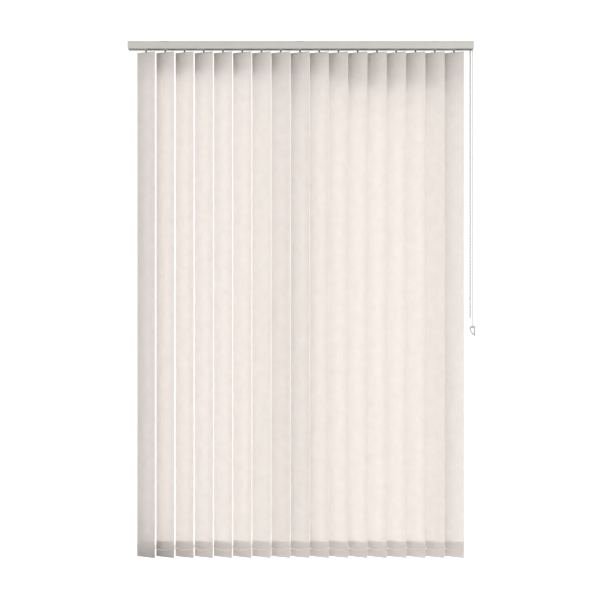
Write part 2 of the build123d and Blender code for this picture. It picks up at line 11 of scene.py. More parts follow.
import bmesh
import bpy
import numpy as np
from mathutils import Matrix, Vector


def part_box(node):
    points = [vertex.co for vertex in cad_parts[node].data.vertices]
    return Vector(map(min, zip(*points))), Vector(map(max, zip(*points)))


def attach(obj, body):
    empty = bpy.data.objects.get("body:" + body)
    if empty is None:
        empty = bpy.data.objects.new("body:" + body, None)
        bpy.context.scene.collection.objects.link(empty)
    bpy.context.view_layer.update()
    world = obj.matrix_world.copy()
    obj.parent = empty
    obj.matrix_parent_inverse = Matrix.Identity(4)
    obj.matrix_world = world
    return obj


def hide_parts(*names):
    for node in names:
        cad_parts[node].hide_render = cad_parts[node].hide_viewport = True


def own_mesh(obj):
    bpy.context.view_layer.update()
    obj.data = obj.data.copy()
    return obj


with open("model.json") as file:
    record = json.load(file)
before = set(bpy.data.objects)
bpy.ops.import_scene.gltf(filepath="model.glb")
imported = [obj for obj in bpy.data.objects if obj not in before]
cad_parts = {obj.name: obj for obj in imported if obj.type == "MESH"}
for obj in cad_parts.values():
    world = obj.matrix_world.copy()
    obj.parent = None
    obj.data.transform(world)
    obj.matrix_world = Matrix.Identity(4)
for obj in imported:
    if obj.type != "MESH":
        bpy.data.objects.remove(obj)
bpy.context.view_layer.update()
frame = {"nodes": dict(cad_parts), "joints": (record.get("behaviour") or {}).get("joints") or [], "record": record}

nodes = frame["nodes"]
LOUVRES = sum(name.startswith("louvre_") for name in nodes)
numbers = [f"{index + 1:02d}" for index in range(LOUVRES)]
joints = {joint["child"]: joint for joint in frame["joints"]}
axis_x = {number: joints[f"louvre_{number}"]["pos_m"][0] for number in numbers}

# %% [markdown]
# ## Driving sizes
# The cloth, its pockets and the angle that the louvres hang at are the blind's own sizes. Everything
# else is measured from the frame. A louvre is drawn flat, in its own plane: x across the cloth, y
# through it with the room at -y, and z up. It is then turned to its rest angle about its stem.

# %% Sizes, in metres
CLOTH_WIDTH = 0.089
CLOTH_LENGTH = 2.100
CLOTH_THICK = 0.00045
TOP_POCKET = 0.018
BOTTOM_POCKET = 0.065
REST_ANGLE = math.radians(28.2)
cloth_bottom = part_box("louvre_01")[0].z
cloth_top = cloth_bottom + CLOTH_LENGTH


def hang(points, number):
    """Turn points from the louvre's own plane to its rest angle about the stem, and move them under it."""
    cos, sin = math.cos(-REST_ANGLE), math.sin(-REST_ANGLE)
    x = points[..., 0] * cos - points[..., 1] * sin + axis_x[number]
    y = points[..., 0] * sin + points[..., 1] * cos
    return np.stack([x, y, points[..., 2]], axis=-1)


print("cloth from", round(cloth_top, 4), "down to", round(cloth_bottom, 4))

# %% [markdown]
# ## Camera, room and light
# The camera stands level with the middle of the cloth, square to the blind, through a long lens, so
# the louvres' edges stay upright. A slight lens shift sets the blind a little high in the picture.
# The Standard view transform keeps a white room white, where the default one would grey it.

# %% Camera
VIEW_DISTANCE = 57 * CLOTH_WIDTH
middle = (0.0, 0.0, (cloth_top + cloth_bottom) / 2)
camera_data = bpy.data.cameras.new("camera")
camera_data.lens = 73.2
camera_data.sensor_width = 36.0
camera_data.shift_y = 0.0077
camera = bpy.data.objects.new("camera", camera_data)
camera.location = (0.0, -VIEW_DISTANCE, middle[2])
camera.rotation_euler = (math.pi / 2, 0.0, 0.0)
bpy.context.scene.collection.objects.link(camera)
bpy.context.scene.camera = camera
bpy.context.scene.view_settings.view_transform = "Standard"
print("camera at", [round(value, 3) for value in camera.location])

# %% [markdown]
# ## Shader arithmetic
# A material is a graph of nodes. Wiring Math nodes by hand hides the formula, so a small class wraps
# each output socket and overloads the operators. `1 - mask * 0.5` then adds the nodes it needs.
# Every other node comes from one method, `node`, which sets its options first and its inputs after.


# %% A class for sockets and one for finishes
class Value:
    """An output socket that can be used in plain arithmetic."""

    def __init__(self, finish, socket):
        self.finish = finish
        self.socket = socket

    def math(self, operation, *values):
        inputs = dict(enumerate(values))
        return self.finish.node("ShaderNodeMath", {"operation": operation}, inputs)

    def __add__(self, other):
        return self.math("ADD", self, other)

    def __sub__(self, other):
        return self.math("SUBTRACT", self, other)

    def __rsub__(self, other):
        return self.math("SUBTRACT", other, self)

    def __mul__(self, other):
        return self.math("MULTIPLY", self, other)

    __radd__ = __add__
    __rmul__ = __mul__

    def sine(self):
        return self.math("SINE", self)

    def clamped(self):
        """The value held between 0 and 1."""
        return self.finish.node("ShaderNodeClamp", {}, {"Value": self})


class Finish:
    """A material and the nodes in it."""

    def __init__(self, name):
        self.material = bpy.data.materials.new(name)
        self.material.use_nodes = True
        self.tree = self.material.node_tree
        self.tree.nodes.clear()

    def node(self, kind, settings, inputs, output=0):
        """Add a node: its settings first, then each input's value or link. Returns one of its outputs."""
        made = self.tree.nodes.new(kind)
        for key, value in settings.items():
            setattr(made, key, value)
        for key, value in inputs.items():
            if isinstance(value, Value):
                self.tree.links.new(value.socket, made.inputs[key])
            else:
                made.inputs[key].default_value = value
        return Value(self, made.outputs[output]) if len(made.outputs) else None

    def stops(self, factor, stops):
        """A colour ramp: (position, colour) pairs read at factor."""
        made = self.node("ShaderNodeValToRGB", {}, {"Fac": factor})
        elements = made.socket.node.color_ramp.elements
        while len(elements) < len(stops):
            elements.new(0.5)
        for element, (position, colour) in zip(elements, stops):
            element.position = position
            element.color = colour
        return made

    def noise(self, vector, scale, detail=2.0, roughness=0.5):
        """Cloudy noise about 0.5, with `scale` features per metre."""
        inputs = {"Vector": vector, "Scale": scale, "Detail": detail, "Roughness": roughness}
        return self.node("ShaderNodeTexNoise", {}, inputs)

    def stretched(self, vector, scale):
        """The vector multiplied by a scale for each axis, so a pattern can run along one of them."""
        inputs = {0: vector, 1: scale}
        return self.node("ShaderNodeVectorMath", {"operation": "MULTIPLY"}, inputs)

    def bump(self, height, distance, strength=1.0):
        """A normal that follows a height, in metres when multiplied by distance."""
        inputs = {"Height": height, "Distance": distance, "Strength": strength}
        return self.node("ShaderNodeBump", {}, inputs)

    def object_place(self):
        """Object coordinates: the frame's own metres."""
        return self.node("ShaderNodeTexCoord", {}, {}, output=3)

    def cloth_place(self):
        """The piece's UV map, in metres across and along."""
        return self.node("ShaderNodeTexCoord", {}, {}, output=2)

    def surface(self, inputs):
        """A Principled shader with these inputs."""
        return self.node("ShaderNodeBsdfPrincipled", {}, inputs)

    def close(self, shader):
        """Send the shader to the output and give back the material."""
        self.node("ShaderNodeOutputMaterial", {}, {"Surface": shader})
        return self.material


def tone(red, green, blue):
    """An 8-bit screen colour as the linear colour that shaders use."""
    screen = np.array([red, green, blue]) / 255.0
    linear = np.where(screen <= 0.04045, screen / 12.92, ((screen + 0.055) / 1.055) ** 2.4)
    return (*linear.tolist(), 1.0)


# %% [markdown]
# ## Meshes from arrays
# Each new shape is a formula over a grid, worked out with numpy for all points at once. These helpers
# turn the arrays into a mesh object whose place is in its points, with the object left at the origin.


# %% Mesh helpers
def grid_faces(rows, columns, wrap=False):
    """Quads between neighbours on a rows x columns grid. With wrap, the last column meets the first."""
    row = np.arange(rows - 1)[:, None]
    column = np.arange(columns if wrap else columns - 1)[None, :]
    after = (column + 1) % columns
    corners = [row * columns + column, row * columns + after]
    corners += [(row + 1) * columns + after, (row + 1) * columns + column]
    return np.stack(np.broadcast_arrays(*corners), axis=-1).reshape(-1, 4)


def make_piece(name, points, faces, finish, uv=None, smooth=True):
    """A mesh object from an (n, 3) array and lists of corner numbers. uv is an (n, 2) array in metres."""
    mesh = bpy.data.meshes.new(name)
    mesh.from_pydata(points.reshape(-1, 3).tolist(), [], [list(face) for face in faces])
    mesh.polygons.foreach_set("use_smooth", np.full(len(mesh.polygons), smooth))
    if uv is not None:
        corners = np.zeros(len(mesh.loops), dtype=np.int32)
        mesh.loops.foreach_get("vertex_index", corners)
        layer = mesh.uv_layers.new(name="UVMap")
        layer.data.foreach_set("uv", uv.reshape(-1, 2)[corners].ravel())
    mesh.materials.append(finish)
    mesh.update()
    piece = bpy.data.objects.new(name, mesh)
    bpy.context.scene.collection.objects.link(piece)
    return piece


def face_outwards(piece, merge=0.0):
    """Make a closed mesh's faces point out of it. Points nearer to each other than merge become one."""
    work = bmesh.new()
    work.from_mesh(piece.data)
    if merge:
        bmesh.ops.remove_doubles(work, verts=work.verts, dist=merge)
    bmesh.ops.recalc_face_normals(work, faces=work.faces)
    work.to_mesh(piece.data)
    work.free()
    return piece


def soften(piece, width, segments=2):
    """Round a hard piece's edges with a live Bevel, whose angle limit leaves smooth faces alone."""
    bevel = piece.modifiers.new("edge", "BEVEL")
    bevel.width = width
    bevel.segments = segments
    bevel.limit_method = "ANGLE"
    bevel.angle_limit = math.radians(40)
    return piece


def along(path, step):
    """Points spaced evenly along a polyline, about step apart, and the line's direction at each."""
    lengths = np.linalg.norm(np.diff(path, axis=0), axis=1)
    travelled = np.concatenate([[0.0], np.cumsum(lengths)])
    count = max(2, int(round(travelled[-1] / step)) + 1)
    places = np.linspace(0.0, travelled[-1], count)
    points = np.stack([np.interp(places, travelled, path[:, axis]) for axis in range(3)], axis=-1)
    heading = np.gradient(points, axis=0)
    heading /= np.linalg.norm(heading, axis=1, keepdims=True)
    return points, heading, travelled[-1]


def smooth_route(route):
    """The points of a smooth curve through a cord's route: a quadratic NURBS spline read as a mesh."""
    curve = bpy.data.curves.new("route", "CURVE")
    curve.dimensions = "3D"
    curve.resolution_u = 16
    spline = curve.splines.new("NURBS")
    spline.points.add(len(route) - 1)
    for point, place in zip(spline.points, route):
        point.co = (*place, 1.0)
    spline.order_u = 3
    spline.use_endpoint_u = True
    holder = bpy.data.objects.new("route", curve)
    bpy.context.scene.collection.objects.link(holder)
    bpy.context.view_layer.update()
    line = bpy.data.meshes.new_from_object(holder)
    points = np.zeros(len(line.vertices) * 3)
    line.vertices.foreach_get("co", points)
    bpy.data.objects.remove(holder)
    bpy.data.meshes.remove(line)
    bpy.data.curves.remove(curve)
    return points.reshape(-1, 3)


# %% [markdown]
# ## The room
# A blind is hard to light from one side: its louvres would stripe with shadow. So it hangs in a round
# white cove under an even sky, as in a light tent. The cove is one profile turned about
# Z: a flat floor that sweeps up into a wall. Its paint glows a little, so that it is as bright as the
# sky and light reaches the blind evenly. It isn't part of the object.


# %% Cove finish and shape
COVE_DROP = 0.42
COVE_FLOOR = 4.0
COVE_BEND = 4.5
COVE_TOP = 6.0
COVE_SIDES = 96


def cove_finish():
    """Matt white paint, with faint clouds and a little light of its own."""
    paint = Finish("cove paint")
    grain = paint.noise(paint.object_place(), 3.0)
    colour = paint.stops(grain, [(0.0, (0.90, 0.90, 0.90, 1)), (1.0, (0.93, 0.93, 0.93, 1))])
    return paint.close(paint.surface({
        "Base Color": colour,
        "Roughness": 0.9,
        "Specular IOR Level": 0.1,
        "Emission Color": (1.0, 1.0, 1.0, 1.0),
        "Emission Strength": 0.16,
    }))


def cove():
    """Turn a profile about Z: straight out to 4 m, then a quarter circle up, then a straight wall."""
    bend = np.linspace(0, math.pi / 2, 25)
    radius = COVE_FLOOR + COVE_BEND * np.sin(bend)
    radius = np.concatenate([[0.001, 1.5, 3.0], radius, [COVE_FLOOR + COVE_BEND]])
    height = np.concatenate([[0.0, 0.0, 0.0], COVE_BEND * (1 - np.cos(bend)), [COVE_TOP]])
    height = height + cloth_bottom - COVE_DROP
    turn = np.linspace(0, 2 * math.pi, COVE_SIDES, endpoint=False)
    x = radius[:, None] * np.cos(turn)
    y = radius[:, None] * np.sin(turn)
    z = np.broadcast_to(height[:, None], x.shape)
    points = np.stack([x, y, z], axis=-1)
    return make_piece("cove", points, grid_faces(len(radius), COVE_SIDES, True), cove_finish())


cove()
print("cove floor at", round(cloth_bottom - COVE_DROP, 3))

# %% [markdown]
# The sky gives most of the light, and half of what is seen of the cloth comes through it from behind.
# A soft panel in front, on the right, models the forms, and a large one behind on the same side stands
# for the window. Near the cloth hang flags: dark boards that keep light off it, as the head, side,
# mullion and far stile of a window do. They shade the top of every louvre, and the whole of the first,
# ninth and last. The nearer a flag is to the cloth, the sharper its shade. One more stands in front and
# shades the first louvres' bottom corner. The camera doesn't see panels or flags.


# %% Sky and light panels
def sky(strength):
    """An even white sky."""
    world = bpy.data.worlds.new("sky")
    world.use_nodes = True
    background = world.node_tree.nodes["Background"]
    background.inputs["Color"].default_value = (1.0, 1.0, 1.0, 1.0)
    background.inputs["Strength"].default_value = strength
    bpy.context.scene.world = world


def light_panel(name, place, aim, width, height, watts):
    """A rectangular soft light at a place, turned so that it faces its aim."""
    lamp = bpy.data.lights.new(name, "AREA")
    lamp.shape = "RECTANGLE"
    lamp.size = width
    lamp.size_y = height
    lamp.energy = watts
    panel = bpy.data.objects.new(name, lamp)
    panel.location = place
    heading = Vector(aim) - Vector(place)
    panel.rotation_euler = heading.to_track_quat("-Z", "Y").to_euler()
    panel.visible_camera = False
    bpy.context.scene.collection.objects.link(panel)
    return panel


sky(1.03)
light_panel("front panel", (2.6, -3.4, 0.2), middle, 2.4, 1.8, 26.0)
light_panel("window panel", (0.8, 2.6, middle[2]), middle, 3.0, 2.4, 29.0)


print("lights:", len(bpy.data.lights))

# %% Flags
FLAG_THICK = 0.012
FLAG_TOP = 0.10


def felt_finish():
    """Dark felt, which gives back little light."""
    felt = Finish("flag felt")
    grain = felt.noise(felt.object_place(), 9.0)
    colour = felt.stops(grain, [(0.0, (0.10, 0.10, 0.10, 1)), (1.0, (0.14, 0.14, 0.14, 1))])
    return felt.close(felt.surface({"Base Color": colour, "Roughness": 0.9}))


felt = felt_finish()


def flag(name, x, z, y):
    """An upright board between two x and two z values. Its face towards the room is at y."""
    y = (y, y + FLAG_THICK)
    corners = np.array([[a, b, c] for a in x for b in y for c in z])
    sides = [[0, 1, 3, 2], [4, 6, 7, 5], [0, 4, 5, 1], [2, 3, 7, 6], [0, 2, 6, 4], [1, 5, 7, 3]]
    piece = face_outwards(make_piece(name, corners, sides, felt, smooth=False))
    piece.visible_camera = False


first, second, ninth, last = (axis_x[number] for number in ("01", "02", "09", "17"))
flags = {
    "window head": ((-0.95, 0.95), (cloth_top - 0.092, 0.60), 0.047),
    "window head, right half": ((axis_x["11"], 0.95), (cloth_top - 0.146, FLAG_TOP), 0.085),
    "window side": ((-1.30, first + 0.034), (cloth_bottom - 0.2, FLAG_TOP), 0.060),
    "mullion": ((ninth - 0.034, ninth + 0.034), (cloth_bottom - 0.1, FLAG_TOP), 0.150),
    "mullion head": ((ninth - 0.040, ninth + 0.040), (cloth_top - 0.200, FLAG_TOP), 0.080),
    "window stile": ((last - 0.018, last + 0.055), (cloth_bottom - 0.1, FLAG_TOP), 0.120),
    "sill corner": ((-1.30, second + 0.030), (cloth_bottom - 0.4, cloth_bottom), -0.120),
}
for name, (x, z, y) in flags.items():
    flag(name, x, z, y)
print("flags:", len(flags))

# %% [markdown]
# ## Cloth
# Louvre cloth is a stiffened polyester weave, cut to strips. Close up it has fine crossing yarns, with
# slubs: short stretches where a yarn runs thick, which read as faint streaks along the strip. It lets
# some light through, so a Translucent shader is mixed with the Principled one.
# The pattern reads the piece's own UV map, in metres, so it stays on the cloth as a louvre turns.


# %% Cloth finish
CLOTH_LETS_THROUGH = 0.55


def cloth_finish():
    """Slubs, crossing yarns and soft clouds between a pale and a deep shade, with light through them."""
    cloth = Finish("louvre cloth")
    place = cloth.cloth_place()
    slubs = cloth.noise(cloth.stretched(place, (900.0, 22.0, 1.0)), 1.0, 3.0, 0.6)
    cross = cloth.noise(cloth.stretched(place, (60.0, 1100.0, 1.0)), 1.0, 2.0, 0.5)
    cloud = cloth.noise(place, 28.0, 4.0, 0.6)
    warp = cloth.node("ShaderNodeTexWave", {"bands_direction": "X"}, {"Vector": place, "Scale": 400.0})
    weft = cloth.node("ShaderNodeTexWave", {"bands_direction": "Y"}, {"Vector": place, "Scale": 330.0})
    shade = (slubs * 0.5 + cross * 0.3 + cloud * 0.35 + warp * weft * 0.12).clamped()
    pale = tone(246, 242, 239)
    deep = tone(231, 226, 222)
    colour = cloth.stops(shade, [(0.30, deep), (0.78, pale)])
    height = warp * 0.5 + weft * 0.5 + slubs * 0.8
    normal = cloth.bump(height, 0.00012, 0.5)
    front = cloth.surface({
        "Base Color": colour,
        "Roughness": 0.86,
        "Normal": normal,
        "Specular IOR Level": 0.25,
    })
    through = cloth.node("ShaderNodeBsdfTranslucent", {}, {"Color": colour, "Normal": normal})
    shares = {"Fac": CLOTH_LETS_THROUGH, 1: front, 2: through}
    return cloth.close(cloth.node("ShaderNodeMixShader", {}, shares))


louvre_cloth = cloth_finish()
print("cloth finish:", louvre_cloth.name)

# %% [markdown]
# ### The strip and its pockets
# A louvre is one strip, folded over at both ends and welded into pockets: a narrow one for the hanger
# and a deep one for the weight. So its surface is a side profile carried across the width. The profile
# starts at the top seam behind, goes over the fold, down the front, round the bottom fold and up to the
# lower seam. Solidify then gives it the cloth's thickness. Between the pockets the strip is almost flat,
# with a slight bow and twist that differ from louvre to louvre, as real cloth has.


# %% Cloth surface
SEAM_GAP = 0.00047
LAP = 0.0015
BODY_ROWS = 40
EDGE_COLUMN = 0.0006
NOTCH_HALF, NOTCH_DEPTH = 0.0055, 0.0024


def strip_profile():
    """Side profile of the strip as (through, height) rows, the room at negative through, in metres."""
    upper = CLOTH_THICK / 2 + 0.00052
    lower = CLOTH_THICK / 2 + 0.00088
    seam_above = cloth_top - TOP_POCKET
    seam_below = cloth_bottom + BOTTOM_POCKET
    turn = np.linspace(0, math.pi, 7)
    rows = [[SEAM_GAP, seam_above - LAP], [SEAM_GAP, seam_above], [upper * 0.9, seam_above + 0.002]]
    rows += [[upper, seam_above + 0.005], [upper, cloth_top - 0.004]]
    rows += np.stack([upper * np.cos(turn), cloth_top - 0.0010 + 0.0008 * np.sin(turn)], -1).tolist()
    rows += [[-upper, cloth_top - 0.004], [-upper, seam_above + 0.005], [-upper * 0.6, seam_above + 0.002]]
    rows += [[0.0, seam_above], [0.0, seam_above - LAP], [0.0, seam_above - 0.008]]
    body = np.linspace(seam_above - 0.04, seam_below + 0.04, BODY_ROWS)
    rows += np.stack([np.zeros(BODY_ROWS), body], -1).tolist()
    rows += [[0.0, seam_below + 0.008], [0.0, seam_below + LAP], [0.0, seam_below]]
    rows += [[-lower * 0.6, seam_below - 0.002], [-lower, seam_below - 0.006], [-lower, seam_below - 0.03]]
    rows += [[-lower, cloth_bottom + 0.004]]
    rows += np.stack([-lower * np.cos(turn), cloth_bottom + 0.0011 - 0.0009 * np.sin(turn)], -1).tolist()
    rows += [[lower, cloth_bottom + 0.004], [lower, seam_below - 0.03], [lower, seam_below - 0.006]]
    rows += [[lower * 0.9, seam_below - 0.002], [SEAM_GAP, seam_below], [SEAM_GAP, seam_below + LAP]]
    return np.array(rows)


def cloth_strip(number, chance):
    """The profile carried across the width, plus a bow (a parabola across) and a twist (linear across)."""
    profile = strip_profile()
    half = CLOTH_WIDTH / 2
    across = np.array([-half, -half + EDGE_COLUMN, -0.041, -0.032, -0.022, -0.013, -NOTCH_HALF, 0.0])
    across = np.concatenate([across, -across[-2::-1]])
    x, through = np.meshgrid(across, profile[:, 0])
    z = np.meshgrid(across, profile[:, 1])[1]
    down = (cloth_top - z) / CLOTH_LENGTH
    free = np.clip(np.minimum(down, 1 - down) * 12 - 0.35, 0, 1)
    bow, lean, ripple = chance.uniform(-1, 1, 3)
    shape = bow * 0.0005 * (1 - (x / half) ** 2) + lean * 0.0006 * (x / half) * np.sin(math.pi * down)
    shape += ripple * 0.0003 * np.sin(7 * math.pi * down) * (x / half)
    points = hang(np.stack([x, through + shape * free, z], axis=-1), number)
    steps = np.linalg.norm(np.diff(profile, axis=0), axis=1)
    travelled = np.concatenate([[0.0], np.cumsum(steps)])
    offset = chance.uniform(0, 5, 2)
    uv = np.stack([x + offset[0], np.broadcast_to(travelled[:, None], x.shape) + offset[1]], axis=-1)
    faces = grid_faces(*x.shape)
    centre_x = x.ravel()[faces].mean(axis=1)
    centre_z = z.ravel()[faces].mean(axis=1)
    notch = (np.abs(centre_x) < NOTCH_HALF) & (centre_z > cloth_top - NOTCH_DEPTH)
    strip = make_piece(f"cloth_{number}", points, faces[~notch], louvre_cloth, uv)
    thicken = strip.modifiers.new("cloth", "SOLIDIFY")
    thicken.thickness = CLOTH_THICK
    thicken.offset = 0.0
    return strip, travelled[-1]


chance = np.random.default_rng(17)
cloths = {}
for number in numbers:
    cloths[number], strip_length = cloth_strip(number, chance)
print("each strip is cut", round(strip_length, 4), "m long")

# %% [markdown]
# ## Moulded plastic and metal
# Moulded parts are never quite one colour or one gloss: the surface has a faint orange-peel texture
# and cloudy patches where it cooled unevenly. One function makes every plastic, given its colour.
# Metals show the way they were made as lines along one direction, so that noise is stretched.


# %% Plastics and metals
def moulded(name, colour, roughness, coat=0.0, glow=0.0, patches=60.0):
    """Plastic: cloudy patches change colour and gloss a little, and fine noise raises the surface.
    Glow is the share of light that a thin wall of it lets through."""
    plastic = Finish(name)
    place = plastic.object_place()
    cloud = plastic.noise(place, patches, 3.0, 0.55)
    peel = plastic.noise(place, 1400.0, 2.0, 0.5)
    dark = tuple(channel * 0.90 for channel in colour[:3]) + (1.0,)
    shade = plastic.stops(cloud, [(0.32, dark), (0.68, colour)])
    inputs = {"Base Color": shade, "Roughness": roughness + (cloud - 0.5) * 0.16}
    inputs["Normal"] = plastic.bump(peel, 0.00004, 0.35)
    if coat:
        inputs["Coat Weight"] = coat
        inputs["Coat Roughness"] = 0.12
    front = plastic.surface(inputs)
    if not glow:
        return plastic.close(front)
    through = plastic.node("ShaderNodeBsdfTranslucent", {}, {"Color": shade, "Normal": inputs["Normal"]})
    return plastic.close(plastic.node("ShaderNodeMixShader", {}, {"Fac": glow, 1: front, 2: through}))


def drawn_metal(name, colour, roughness, metallic, lines):
    """Metal: noise stretched by a scale for each axis gives the lines that a die or a brush leaves."""
    metal = Finish(name)
    place = metal.object_place()
    streak = metal.noise(metal.stretched(place, lines), 1.0, 3.0, 0.6)
    cloud = metal.noise(place, 18.0, 3.0, 0.5)
    dark = tuple(channel * 0.88 for channel in colour[:3]) + (1.0,)
    shade = metal.stops((streak * 0.7 + cloud * 0.3).clamped(), [(0.30, dark), (0.66, colour)])
    return metal.close(metal.surface({
        "Base Color": shade,
        "Roughness": roughness + (streak - 0.5) * 0.18,
        "Metallic": metallic,
        "Normal": metal.bump(streak, 0.00003, 0.3),
    }))


ALONG_X = (3.0, 1600.0, 1600.0)
ALL_WAYS = (900.0, 900.0, 900.0)
finishes = {
    "rail_aluminium": drawn_metal("satin rail", tone(188, 186, 180), 0.46, 0.30, ALONG_X),
    "rod_aluminium": drawn_metal("extruded rod", tone(196, 197, 199), 0.34, 0.9, ALONG_X),
    "zinc_steel": drawn_metal("zinc plate", tone(178, 181, 184), 0.38, 0.9, ALL_WAYS),
    "axle_steel": drawn_metal("axle wire", tone(170, 170, 170), 0.28, 1.0, ALL_WAYS),
    "cap_plastic": moulded("end cap plastic", tone(186, 184, 177), 0.48),
    "gear_plastic": moulded("gear plastic", tone(226, 224, 216), 0.42),
    "chain_plastic": moulded("chain bead plastic", tone(176, 176, 173), 0.24, 0.5),
    "link_chain": moulded("link bead plastic", tone(222, 219, 212), 0.26, 0.4),
    "connector_plastic": moulded("connector plastic", tone(226, 226, 224), 0.16, 0.6),
    "weight_plastic": moulded("weight plastic", tone(172, 172, 171), 0.22, 0.6),
}
# Stems and forks are painted dark grey: painted shade, for the shadow that falls under the rail.
stem_plastic_in_painted_shade = moulded("stem plastic", tone(112, 110, 107), 0.44)
hanger_plastic = moulded("hanger plastic", tone(236, 233, 228), 0.42, glow=0.35)
ballast_plastic = moulded("ballast plastic", tone(252, 251, 249), 0.46)
print("finishes:", len(bpy.data.materials))

# %% [markdown]
# The traverse cord is braided: strands cross in two directions, and each crossing stands up a little.
# Two waves that run opposite ways round the cord multiply into that diamond pattern. The pattern reads
# the cord's UV map, whose u goes once round it and whose v is metres along it.


# %% Braided cord finish
BRAID_STRANDS = 4
BRAID_PITCH = 0.0042


def braid_finish():
    """Sine of the sum times sine of the difference of two phases: round the cord, and along it."""
    braid = Finish("braided cord")
    place = braid.cloth_place()
    around = braid.node("ShaderNodeSeparateXYZ", {}, {0: place})
    along_cord = Value(braid, around.socket.node.outputs["Y"])
    turn = around * (2 * math.pi * BRAID_STRANDS)
    travel = along_cord * (2 * math.pi / BRAID_PITCH)
    left = (turn + travel).sine()
    right = (turn - travel).sine()
    crossing = (left * right * 0.5 + 0.5).clamped()
    # The low parts between crossings are painted darker: painted shade between the strands.
    colour = braid.stops(crossing, [(0.0, tone(160, 157, 150)), (0.6, tone(204, 201, 194))])
    normal = braid.bump(crossing, 0.00012, 0.7)
    return braid.close(braid.surface({"Base Color": colour, "Roughness": 0.74, "Normal": normal}))


finishes["cord_fibre"] = braid_finish()

# %% [markdown]
# ## The CAD parts that keep their shape
# The rail, end caps, brackets, pulleys, rod and carriers are hard parts whose CAD shape is already
# right, so they stay. Each one only gets the finish that its record names.

# %% Finish the CAD parts
for row in frame["record"]["subparts"]:
    if row["material_slot"] in finishes:
        for slot in nodes[row["node"]].material_slots:
            slot.material = finishes[row["material_slot"]]

# %% [markdown]
# ## Stems
# A stem is one moulding: a toothed wheel that the worm turns, a shaft, a collar, and a fork below that
# hooks the louvre's hanger. The upper part is round, so it is a profile turned about Z, with a wave in
# its radius where the wheel is. The fork is a flat outline given a thickness.


# %% Stem, fork and hanger shapes
MM = 0.001
MERGE = 0.00001
TEETH = 12
TOOTH_RISE = 0.8
WHEEL_ROOT = 4.4
# The stem's side, from its top pin down: (radius, height) in millimetres.
STEM = [(0, -16.3), (1.3, -16.3), (1.5, -16.5), (1.5, -18.5)]
STEM += [(WHEEL_ROOT, -18.5), (4.5, -18.7), (4.5, -23.3), (WHEEL_ROOT, -23.5)]
STEM += [(2.5, -23.5), (2.5, -36.6), (3.9, -36.6), (4.2, -36.9), (4.2, -37.7), (3.9, -38.0), (0, -38.0)]


def turned_stem(name, number):
    """Radius as a function of height, turned about Z. On the wheel, the radius has a clipped cosine added."""
    radius, height = np.array(STEM).T[:, :, None]
    turn = np.linspace(0, 2 * math.pi, TEETH * 8, endpoint=False)
    tooth = TOOTH_RISE * np.clip(0.5 + 1.1 * np.cos(TEETH * turn), 0, 1)
    reach = radius + np.where(radius >= WHEEL_ROOT, tooth, 0.0)
    z = np.broadcast_to(height, reach.shape)
    points = np.stack([reach * np.cos(turn), reach * np.sin(turn), z], axis=-1) * MM
    faces = grid_faces(len(STEM), len(turn), True)
    return face_outwards(make_piece(name, hang(points, number), faces, stem_plastic_in_painted_shade), merge=MERGE)


def slab(name, outline, near, far, plane, number, finish, edge):
    """An outline of (a, b) points in millimetres given a thickness: two end faces and a band of quads."""
    outline = np.array(outline)
    count = len(outline)
    ends = [np.full(count, value) for value in (near, far)]
    sheets = [[outline[:, 0], end, outline[:, 1]] for end in ends]
    if plane == "YZ":
        sheets = [[end, outline[:, 0], outline[:, 1]] for end in ends]
    points = np.concatenate([np.stack(sheet, axis=-1) for sheet in sheets]) * MM
    faces = [list(face) for face in grid_faces(2, count, True)]
    faces += [list(range(count)), list(range(count, 2 * count))]
    piece = make_piece(name, hang(points, number), faces, finish, smooth=False)
    return soften(face_outwards(piece), edge * MM)


FORK = [(-1.5, -38.0), (1.5, -38.0), (1.5, -45.8), (0.6, -45.8), (0.6, -39.6), (-0.6, -39.6)]
FORK += [(-0.6, -45.8), (-1.5, -45.8)]
HANGER = [(-3.3, -40.1), (3.3, -40.1), (3.3, -46.2), (42, -46.2), (42, -59.7), (-42, -59.7)]
HANGER += [(-42, -46.2), (-3.3, -46.2)]
PLATE_TOP, PLATE_END = -2086.0, -2143.5
ARM_HIGH, ARM_LOW = -2100.8, -2105.2
BALLAST = [(-43, PLATE_TOP), (43, PLATE_TOP), (43, ARM_HIGH), (49.7, ARM_HIGH), (49.7, ARM_LOW)]
BALLAST += [(43, ARM_LOW), (43, PLATE_END), (-43, PLATE_END), (-43, ARM_LOW), (-49.7, ARM_LOW)]
BALLAST += [(-49.7, ARM_HIGH), (-43, ARM_HIGH)]

# %% [markdown]
# The bottom weight is a flat plate with an arm at each edge. Each arm ends in a clip, an upright trough
# that the chain's string drops into, open at the top, with a bead on each side to stop it sliding.


# %% Chain clips
ARM_END, CLIP_HEIGHT = 48.0, -2103.0
PLATE_HALF, CLIP_OUT = 0.85, 2.2
CLIP = [(-1.7, -2.2), (1.7, -2.2), (1.7, 2.2), (0.6, 2.2), (0.6, -0.6), (-0.6, -0.6)]
CLIP += [(-0.6, 2.2), (-1.7, 2.2)]


def chain_clip(name, side, number):
    """A trough section of (x, z) points carried through the cloth's thickness at the arm's end."""
    outline = [(side * ARM_END + x, z + CLIP_HEIGHT) for x, z in CLIP]
    near, far = sorted((side * PLATE_HALF, -side * CLIP_OUT))
    return slab(name, outline, near, far, "XZ", number, ballast_plastic, 0.25)


